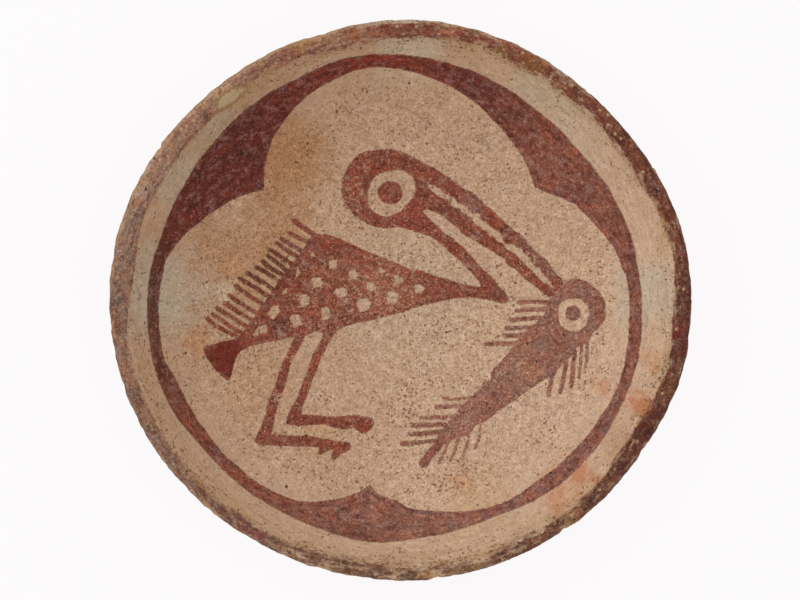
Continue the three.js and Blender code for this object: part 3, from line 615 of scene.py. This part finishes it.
# The rim's slip breaks up towards its inner edge, so its film starts a little further in.
# Outside, the lip cuts it off, and below it ends in a line that wavers too.
rim_prism = brushed_prism("rim_band")
rim_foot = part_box("rim_band")[0].z
for vertex in rim_prism.data.vertices:
    angle = math.atan2(vertex.co.y, vertex.co.x)
    if vertex.co.z < PRISM_TOP / 2:
        sag = sum(math.sin(waves * angle) for waves in RIM_SAG_WAVES)
        vertex.co.z += rim_foot + RIM_SAG * MM * sag
    vertex.co.xy *= RIM_SPREAD if is_inside(vertex.co) else RIM_CLEAR
rim_skin = skin_of(body, "rim_skin", lambda face: face.calc_center_median().z > rim_foot - RIM_BELOW)
rim_film = painted(rim_skin, rim_prism, "rim_band", "rim_slip")
bpy.data.objects.remove(rim_skin)
outward = [vertex.normal.dot(vertex.co.xy.to_3d().normalized()) for vertex in rim_film.data.vertices]
mark(rim_film, "outward", outward)

# Iron slip: a wash of red clay, matt, with the clay showing where it is thin or rubbed away.
# Round the rim, by degrees from the right, each given only where its look turns into another:
# grey with smoke on the left and below it, dark brown at the lower right, maroon on the right,
# redder above, pinkish at the upper left.
RIM_COLOURS = [
    (-180, "#84695d"), (-135, "#76564a"), (-85, "#6b4c3d"), (-30, "#542b23"), (30, "#673729"),
    (90, "#834b3b"), (150, "#9a786b"), (180, "#84695d"),
]

# How much slip is rubbed off all over, at the most and as shares of it, and off the outer shoulder alone,
# where the bare clay is partly wear and partly painted light that keeps the lip's outward face from looking
# shaded
RUBBED_MOST = 0.22
RUBBED_CREST = [(-180, 0.35), (-90, 0.65), (-10, 0.15), (70, 0.4), (150, 0.65), (180, 0.35)]
SHOULDER_WEAR_AND_LIGHT = [(-180, 0.12), (-80, 0), (20, 0.05), (90, 0.7), (150, 0.7), (180, 0.12)]

# How ragged its inner edge is, which under WHOLE_EDGE is whole
RAGGED_EDGE = [(-180, 0.4), (-80, 1), (-20, 0.5), (45, 1), (95, 0.85), (150, 0), (180, 0.4)]
WHOLE_EDGE = 0.3

# How unevenly the colours round the plate run into each other, in radians
TURN_SHAKE = 0.3

# Marks of the brush, in millimetres
STROKE_LENGTH = 9
STROKE_WIDTH = 1.5


def by_degrees(tree, place, stops):
    """A colour that changes round the plate, through these colours at these degrees."""
    axes = add(tree, "SeparateXYZ", {"Vector": place})
    turn = add(tree, "Math", {0: axes.node.outputs["Y"], 1: axes.node.outputs["X"]}, operation="ARCTAN2")
    shaken = add(tree, "TexNoise", {"Vector": place, "Scale": 1 / 8, "Detail": 4})
    turn = add(tree, "Math", {0: shaken, 1: TURN_SHAKE, 2: turn}, operation="MULTIPLY_ADD")
    turn = add(tree, "MapRange", {"Value": turn, "From Min": TURN_SHAKE / 2 - math.pi,
                                  "From Max": TURN_SHAKE / 2 + math.pi})
    ramp = add(tree, "ValToRGB", {"Fac": turn})
    elements = ramp.node.color_ramp.elements
    elements[0].color = linear(stops[0][1])
    elements[1].color = linear(stops[-1][1])
    for degrees, tint in stops[1:-1]:
        elements.new((degrees + 180) / 360).color = linear(tint)
    return ramp


def share_by_degrees(tree, place, stops):
    """A share from 0 to 1 that changes round the plate."""
    ramp = by_degrees(tree, place, [(degrees, "#000000") for degrees, _ in stops])
    for element, (_, share) in zip(ramp.node.color_ramp.elements, stops):
        element.color = (share, share, share, 1)
    return ramp


def red_slip(name, coats, haze, wear, patches=(), bare_spots=(), mottles=0.65, worn_rim=False):
    """Slip over the clay. Coats are its thick and its thin colour, or its colours round the plate.
    Haze is the colour of its bloom, wear the share that is rubbed off all over, and mottles
    the strength of its dark pools and of its bloom."""
    material = new_material(name)
    tree = material.node_tree
    clay, relief, pores, clots_and_highlights, place = fired_clay(tree)

    # brush strokes run along the edge of the shape
    edge = add(tree, "Attribute", {}, attribute_name="from_edge").node.outputs["Fac"]
    across = add(tree, "Math", {0: edge, 1: STROKE_LENGTH / STROKE_WIDTH}, operation="MULTIPLY")
    across = add(tree, "CombineXYZ", {"Z": across})
    along = add(tree, "VectorMath", {0: place, 1: across}, operation="ADD")
    strokes = add(tree, "TexNoise", {"Vector": along, "Scale": 1 / STROKE_LENGTH, "Detail": 5,
                                     "Roughness": 0.62})
    streaks = add(tree, "MapRange", {"Value": strokes, "From Min": 0.36, "From Max": 0.64})
    if isinstance(coats, tuple):
        colour = add(tree, "Mix", {"Factor": streaks, "A": coats[0], "B": coats[1]}, data_type="RGBA")
    else:
        colour = by_degrees(tree, place, coats)
        if worn_rim:
            streaks = round_noise(tree, place, 2.6, 4)
            streaks = add(tree, "MapRange", {"Value": streaks, "From Min": 0.36, "From Max": 0.62})
            golden = round_noise(tree, place, 3.4, 4, detail=4)
            golden = add(tree, "MapRange", {"Value": golden, "From Min": 0.53, "From Max": 0.64,
                                            "To Max": 0.36})
            colour = add(tree, "Mix", {"Factor": golden, "A": colour, "B": "#91602f"}, data_type="RGBA")
        shade = add(tree, "Mix", {"Factor": streaks, "A": (0.64, 0.53, 0.5), "B": (1.26, 1.26, 1.2)},
                    data_type="VECTOR")
        colour = add(tree, "VectorMath", {0: colour, 1: shade}, operation="MULTIPLY")

    # thin and redder at the edge and in places, with thick dark pools and a pale purplish bloom
    drift = add(tree, "TexNoise", {"Vector": place, "Scale": 1 / 5.5, "Detail": 2})
    drift = add(tree, "MapRange", {"Value": drift, "From Min": 0.36, "From Max": 0.64})
    drift = add(tree, "Mix", {"Factor": drift, "A": (0.93, 1.02, 1.06), "B": (1.13, 0.92, 0.78)},
                data_type="VECTOR")
    colour = add(tree, "VectorMath", {0: colour, 1: drift}, operation="MULTIPLY")
    border = add(tree, "MapRange", {"Value": edge, "From Max": 1.3, "To Min": 0.4, "To Max": 0})
    colour = add(tree, "Mix", {"Factor": border, "A": colour, "B": "#7c3b27"}, data_type="RGBA")
    pools = add(tree, "TexNoise", {"Vector": place, "Scale": 1 / 3.6, "Detail": 3})
    pools = add(tree, "MapRange", {"Value": pools, "From Min": 0.47, "From Max": 0.34,
                                   "To Max": mottles})
    colour = add(tree, "Mix", {"Factor": pools, "A": colour, "B": "#571d12"}, data_type="RGBA")
    bloom = add(tree, "TexNoise", {"Vector": place, "Scale": 1 / 4.4, "Detail": 3, "Roughness": 0.65})
    bloom = add(tree, "MapRange", {"Value": bloom, "From Min": 0.5, "From Max": 0.7, "To Max": mottles})
    colour = add(tree, "Mix", {"Factor": bloom, "A": colour, "B": haze}, data_type="RGBA")
    if patches:
        colour = with_patches(tree, colour, place, patches)
    for size, dark, pale in ((2.2, (0.64, 0.53, 0.47), (1.36, 1.48, 1.52)),
                             (0.9, (0.44, 0.33, 0.28), (1.4, 1.54, 1.58))):
        fine = add(tree, "TexNoise", {"Vector": place, "Scale": 1 / size, "Detail": 3, "Roughness": 0.8})
        shade = add(tree, "MapRange", {"Value": fine, "From Min": 0.3, "From Max": 0.7})
        shade = add(tree, "Mix", {"Factor": shade, "A": dark, "B": pale}, data_type="VECTOR")
        colour = add(tree, "VectorMath", {0: colour, 1: shade}, operation="MULTIPLY")

    # worn through in patches and in fine flecks, and thin enough at the edge for the clay to show
    bare = add(tree, "TexNoise", {"Vector": place, "Scale": 1 / 1.9, "Detail": 5, "Roughness": 0.75})
    worn = wear
    for x, y, radius, strength in bare_spots:
        more = spot(tree, place, x, y, radius, strength)
        worn = add(tree, "Math", {0: more, 1: worn}, operation="ADD")
    frayed = add(tree, "MapRange", {"Value": edge, "From Max": 0.7, "To Min": 0.08, "To Max": 0})
    worn = add(tree, "Math", {0: frayed, 1: worn}, operation="ADD")
    if worn_rim:
        rags = add(tree, "MapRange", {"Value": edge, "From Max": 3, "To Min": 0.36, "To Max": 0})
        outward = add(tree, "Attribute", {}, attribute_name="outward").node.outputs["Fac"]
        # the lip's outward face is bared to clay: partly wear, partly painted light against its shade
        shoulder = add(tree, "MapRange", {"Value": outward, "From Min": 0.2, "From Max": 0.8, "To Max": 0.3})
        for share, stops, whole in ((RUBBED_MOST, RUBBED_CREST, 0), (shoulder, SHOULDER_WEAR_AND_LIGHT, 0),
                                    (rags, RAGGED_EDGE, WHOLE_EDGE)):
            round_rim = share_by_degrees(tree, place, stops)
            round_rim = add(tree, "Math", {0: round_rim, 1: whole}, operation="SUBTRACT")
            worn = add(tree, "Math", {0: round_rim, 1: share, 2: worn}, operation="MULTIPLY_ADD")
        smears = round_noise(tree, place, 2.2, 3.5, detail=4)
        bare = add(tree, "Mix", {"Factor": 0.7, "A": bare, "B": smears})
    bare = add(tree, "Math", {0: bare, 1: worn}, operation="ADD")
    bare = add(tree, "MapRange", {"Value": bare, "From Min": 0.62, "From Max": 0.74, "To Max": 0.85})
    flecks = add(tree, "TexNoise", {"Vector": place, "Scale": 1 / 0.95, "Detail": 2, "Roughness": 0.6})
    if worn_rim:
        worn = add(tree, "Math", {0: worn, 1: 0.25}, operation="MULTIPLY")
    flecks = add(tree, "Math", {0: worn, 1: flecks}, operation="ADD")
    flecks = add(tree, "MapRange", {"Value": flecks, "From Min": 0.65, "From Max": 0.73, "To Max": 0.6})
    bare = add(tree, "Math", {0: bare, 1: flecks}, operation="MAXIMUM")
    # the clots, pale with their painted highlights, show through the slip
    bare = add(tree, "Math", {0: bare, 1: clots_and_highlights}, operation="MAXIMUM")
    thin = add(tree, "MapRange", {"Value": edge, "From Max": 0.5, "To Min": 0.3, "To Max": 0})
    bare = add(tree, "Math", {0: bare, 1: thin}, operation="MAXIMUM")
    colour = add(tree, "Mix", {"Factor": bare, "A": colour, "B": clay}, data_type="RGBA")
    colour = add(tree, "Mix", {"Factor": pores, "A": colour, "B": "#38231c"}, data_type="RGBA")
    finish_material(tree, colour, relief, SLIP_ROUGHNESS)
    return material


# The slip is worn round each chip and gone over the smear: how far beyond them, and how much
CHIP_WEAR = (2, 0.12)
SCAR_WEAR = (1, 0.4)
chip_spots = []
for degrees, _, length, _ in CHIPS:
    angle = math.radians(degrees)
    chip_spots.append((RIM_X * math.cos(angle), RIM_Y * math.sin(angle),
                       length + CHIP_WEAR[0], CHIP_WEAR[1]))
chip_spots.append((*SCAR, SCAR_REACH[0] + SCAR_WEAR[0], SCAR_WEAR[1]))
smoked_slip = red_slip(
    "smoked_iron_slip", RIM_COLOURS, "#8d7060", 0, bare_spots=chip_spots,
    patches=[("#95562c", 119.5, -4, 5, 0.6), ("#8f5029", 118, -16, 6, 0.6), ("#6a2420", 122, -14, 7, 0.7),
             ("#7a4b22", 58, 106, 8, 0.8), ("#7f5a2c", 46, 112, 6, 0.6), ("#7d5038", 94, -85, 6, 0.5),
             ("#8c683c", 76, -99, 5, 0.6), ("#8f6a42", 30, -119, 14, 0.4), ("#7a3c38", -66, -104, 10, 0.6),
             ("#a8743c", -46, 115, 9, 0.5), ("#7c4a4c", -80, 98, 8, 0.7), ("#6c2a24", 66, 103, 6, 0.5)],
    mottles=0.4, worn_rim=True)
dress(rim_film, smoked_slip)


# The scalloped band: a ring of red slip round the painted field. Its three scallops were drawn
# from inside, and the corners between them filled in solid.

# Thick and dark where the corners were filled in, thinner and paler along the lower right
BAND_COLOURS = [
    (-180, "#54352a"), (-145, "#7f4636"), (-75, "#92665a"), (-20, "#88584e"), (45, "#844f41"),
    (70, "#67342b"), (95, "#7b3224"), (130, "#5e2a22"), (162, "#66291f"), (180, "#54352a"),
]
inside_skin = skin_of(body, "inside_skin", lambda face: face.normal.z > PAINTED_FACING)
band_film = painted(inside_skin, brushed_prism("scalloped_band"), "scalloped_band", "band_slip")
dress(band_film, red_slip("hematite_slip", BAND_COLOURS, "#8c6a62", 0.01, mottles=0.5))


# The bird: a wader with its neck folded back and a fish in its beak, painted in red slip that was filled
# in with a broad brush round bare squares. Its wing feathers are single strokes, and use has rubbed it.

# The pale bare line along the bill is a row of beads, left by dabs set down from both sides
BEAD_RADIUS = 1.9
BEAD_BARE = 0.5
BILL_BEADS = [
    (19, 50), (25.4, 45.3), (31.4, 41.3), (36.6, 38.6), (37.4, 35.8), (40.5, 33.5), (43.1, 31.1),
    (47, 28.5), (52.4, 24.4), (56.2, 22.3), (60.1, 18.8), (64.7, 13.5),
]
bird_film = painted(inside_skin, brushed_prism("bird"), "bird", "bird_slip")
bird_slip = red_slip(
    "bird_slip", ("#6f3526", "#8e4c37"), "#8f6656", 0.045,
    patches=[("#4f2418", -66, 20, 28, 0.8), ("#651d11", -78, -25, 15, 0.9), ("#7c5550", -41, 23, 9, 0.35),
             ("#9a5a41", -4, 6, 24, 0.6), ("#7d2f25", 4, 34, 16, 0.5), ("#8a6257", 34, 46, 10, 0.6),
             ("#6a3c33", 46, 3, 9, 0.5), ("#3f2b27", -53, -13, 4.5, 0.75), ("#a08c7a", -50.5, -17, 3.5, 0.4),
             ("#8c6357", 66, 22, 14, 0.5), ("#6b3626", -45, -56, 17, 0.35)],
    bare_spots=[(-36, -2, 30, 0.035), (-6, 4, 24, 0.06), (-22, 46, 14, 0.06), (62, 22, 14, 0.04),
                (-55.4, -44.9, 5, 0.12), (-48, -26, 8, 0.05), (-78, -25, 15, -0.08)]
    + [(x, y, BEAD_RADIUS, BEAD_BARE) for x, y in BILL_BEADS])
dress(bird_film, bird_slip)


# The bird's pupil: one round dab of the same slip inside the bare ring of its eye.
# It was set down with the tip of the brush and never touches the head.

bird_pupil_film = painted(inside_skin, brushed_prism("bird_pupil"), "bird_pupil", "bird_pupil_slip")
dress(bird_pupil_film, bird_slip)


# The fish: painted with a thinner, more purple wash than the bird, with spines in single strokes
# along its back and belly. Some of the spines have nearly worn away.

fish_film = painted(inside_skin, brushed_prism("fish", meets="bird"), "fish", "fish_slip")
fish_slip = red_slip(
    "thin_hematite_slip", ("#845446", "#97685a"), "#946e64", 0.05,
    patches=[("#77503e", 83, -6, 16, 0.4), ("#9b6a4e", 58, -30, 13, 0.5), ("#7d4437", 16, -70, 9, 0.7),
             ("#6f4636", 50, -14, 9, 0.5), ("#6f4636", 14, -60, 9, 0.4)],
    bare_spots=[(56, -36, 18, 0.03), (30, -52, 16, 0.03)], mottles=0.35)
dress(fish_film, fish_slip)


# The fish's pupil: one dab of the fish's thin wash in the bare ring of its eye.
# It is smaller than the bird's, and was set down with the tip of the brush too.

fish_pupil_film = painted(inside_skin, brushed_prism("fish_pupil"), "fish_pupil", "fish_pupil_slip")
dress(fish_pupil_film, fish_slip)
bpy.data.objects.remove(inside_skin)


# The studio: a plain pale floor, one large soft lamp high on the left of the plate's top,
# a weak lamp opposite and an even white sky. The camera looks almost straight down.

FLOOR_SIZE = 8
PAPER_GLOW = 0.92
SKY_STRENGTH = 0.95

bpy.ops.object.select_all(action="DESELECT")
bpy.ops.mesh.primitive_plane_add(size=FLOOR_SIZE, location=(0, 0, 0))
floor = bpy.context.object
floor.name = "floor"
paper = new_material("white_paper")
seen = add(paper.node_tree, "LightPath", {})
matt = add(paper.node_tree, "BsdfDiffuse", {"Color": "#f3f1f0"})
glow = add(paper.node_tree, "Emission", {"Color": "#fdfbfc", "Strength": 1})
share = add(paper.node_tree, "Math", {0: seen, 1: PAPER_GLOW}, operation="MULTIPLY")
mixed = add(paper.node_tree, "MixShader", {"Fac": share, 1: matt, 2: glow})
add(paper.node_tree, "OutputMaterial", {"Surface": mixed})
floor.data.materials.append(paper)

# Each lamp's name, place, size and power
LAMPS = [("key", (-1.15, 0.5, 1.25), 0.9, 5.8), ("fill", (0.9, -0.7, 1.3), 1.2, 0.8)]
for name, place, size, power in LAMPS:
    bpy.ops.object.light_add(type="AREA", location=place)
    lamp = bpy.context.object
    lamp.name = name
    lamp.data.size = size
    lamp.data.energy = power
    lamp.rotation_euler = (-Vector(place)).to_track_quat("-Z", "Y").to_euler()

sky = bpy.data.worlds.new("sky")
sky.use_nodes = True
sky.node_tree.nodes["Background"].inputs["Color"].default_value = (1, 1, 1, 1)
sky.node_tree.nodes["Background"].inputs["Strength"].default_value = SKY_STRENGTH
bpy.context.scene.world = sky

CAMERA_LEAN = math.radians(4)
CAMERA_DISTANCE = 1.3
CAMERA_LENS = 130
AIM = Vector((-0.001, 0, 0.038))
bpy.ops.object.camera_add(rotation=(0, -CAMERA_LEAN, 0))
camera = bpy.context.object
camera.location = AIM + CAMERA_DISTANCE * Vector((-math.sin(CAMERA_LEAN), 0, math.cos(CAMERA_LEAN)))
camera.data.lens = CAMERA_LENS
bpy.context.scene.camera = camera
bpy.context.scene.view_settings.view_transform = "Standard"
